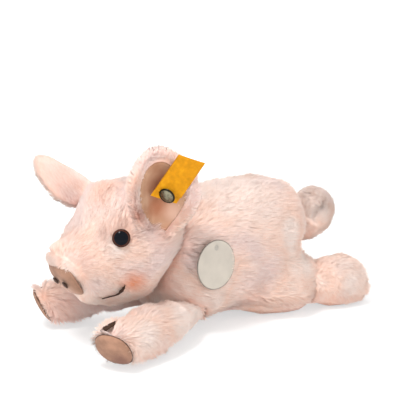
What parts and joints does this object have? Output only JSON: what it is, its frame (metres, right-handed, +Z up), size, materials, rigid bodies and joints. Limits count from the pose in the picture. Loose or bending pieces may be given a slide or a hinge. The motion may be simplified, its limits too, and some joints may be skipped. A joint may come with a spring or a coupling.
{
  "type": "plush pig",
  "caption": "Plush pig lying on its belly with its legs stretched out, felt snout and soles, curly tail, ribbon tag in one ear and a round card tag on its chest.",
  "frame": {"origin": "middle of the flat patch under the belly that the pig rests on", "axes": "-Y towards the nose, +X towards the pig's left, +Z up"},
  "size_m": [0.1289, 0.2102, 0.1189],
  "materials": {
    "pink_plush": "short dense pile",
    "fibre_filling": "loose fibre",
    "tan_felt": "felt",
    "brown_thread": "satin stitch",
    "black_plastic": "gloss",
    "white_plastic": "matte",
    "tan_velour": "velour",
    "yellow_ribbon": "woven ribbon",
    "silver_metal": "satin",
    "cream_card": "coated card",
    "clear_thread": "satin"
  },
  "bodies": {
    "torso": {"torso_skin": "pink_plush", "torso_filling": "fibre_filling", "head_skin": "pink_plush", "head_filling": "fibre_filling", "snout_disc": "tan_felt", "nostril_left": "brown_thread", "nostril_right": "brown_thread", "mouth_left": "brown_thread", "mouth_right": "brown_thread", "eye_left": "black_plastic", "eye_right": "black_plastic", "eye_washer_left": "white_plastic", "eye_washer_right": "white_plastic", "chest_tag_thread": "clear_thread"},
    "leg_front_left": {"leg_skin_front_left": "pink_plush", "leg_filling_front_left": "fibre_filling", "sole_pad_front_left": "tan_felt", "hoof_cleft_front_left": "brown_thread"},
    "leg_front_right": {"leg_skin_front_right": "pink_plush", "leg_filling_front_right": "fibre_filling", "sole_pad_front_right": "tan_felt", "hoof_cleft_front_right": "brown_thread"},
    "leg_hind_left": {"leg_skin_hind_left": "pink_plush", "leg_filling_hind_left": "fibre_filling", "sole_pad_hind_left": "tan_felt", "hoof_cleft_hind_left": "brown_thread"},
    "leg_hind_right": {"leg_skin_hind_right": "pink_plush", "leg_filling_hind_right": "fibre_filling", "sole_pad_hind_right": "tan_felt", "hoof_cleft_hind_right": "brown_thread"},
    "ear_left": {"ear_left": "pink_plush", "ear_lining_left": "tan_velour", "ear_button": "silver_metal", "ear_button_back": "silver_metal"},
    "ear_right": {"ear_right": "pink_plush", "ear_lining_right": "tan_velour"},
    "tail": {"tail": "pink_plush"},
    "ear_tag": {"ear_tag": "yellow_ribbon"},
    "chest_tag": {"chest_tag": "cream_card"}
  },
  "joints": [
    {"name": "front_left_swing", "type": "hinge", "parent": "torso", "child": "leg_front_left", "pos_m": [0.022, -0.024, 0], "axis": [0, 0, 1], "range_deg": [-10, 10], "stiffness_Nm_per_rad": 0.08},
    {"name": "front_right_swing", "type": "hinge", "parent": "torso", "child": "leg_front_right", "pos_m": [-0.022, -0.024, 0], "axis": [0, 0, 1], "range_deg": [-10, 10], "stiffness_Nm_per_rad": 0.08},
    {"name": "hind_left_swing", "type": "hinge", "parent": "torso", "child": "leg_hind_left", "pos_m": [0.025, 0.062, 0], "axis": [0, 0, 1], "range_deg": [-10, 10], "stiffness_Nm_per_rad": 0.08},
    {"name": "hind_right_swing", "type": "hinge", "parent": "torso", "child": "leg_hind_right", "pos_m": [-0.025, 0.062, 0], "axis": [0, 0, 1], "range_deg": [-10, 10], "stiffness_Nm_per_rad": 0.08},
    {"name": "left_ear_fold", "type": "hinge", "parent": "torso", "child": "ear_left", "pos_m": [0.03, -0.053, 0.0735], "axis": [0.2708, 0.9584, 0.0897], "range_deg": [-12, 12], "stiffness_Nm_per_rad": 0.03},
    {"name": "right_ear_fold", "type": "hinge", "parent": "torso", "child": "ear_right", "pos_m": [-0.0295, -0.0605, 0.08], "axis": [0.5049, -0.8278, 0.2447], "range_deg": [-12, 12], "stiffness_Nm_per_rad": 0.03},
    {"name": "tail_sway", "type": "hinge", "parent": "torso", "child": "tail", "pos_m": [0.003, 0.063, 0.0475], "axis": [0, 0, 1], "range_deg": [-12, 12], "stiffness_Nm_per_rad": 0.02},
    {"name": "ear_tag_swivel", "type": "hinge", "parent": "ear_left", "child": "ear_tag", "pos_m": [0.04143, -0.05412, 0.09202], "axis": [0.8869, -0.4282, -0.1733], "range_deg": [-12, 12]},
    {"name": "chest_tag_swing", "type": "hinge", "parent": "torso", "child": "chest_tag", "pos_m": [0.03267, -0.01764, 0.05504], "axis": [0.9825, -0.1782, 0.0533], "range_deg": [-20, 20]}
  ]
}
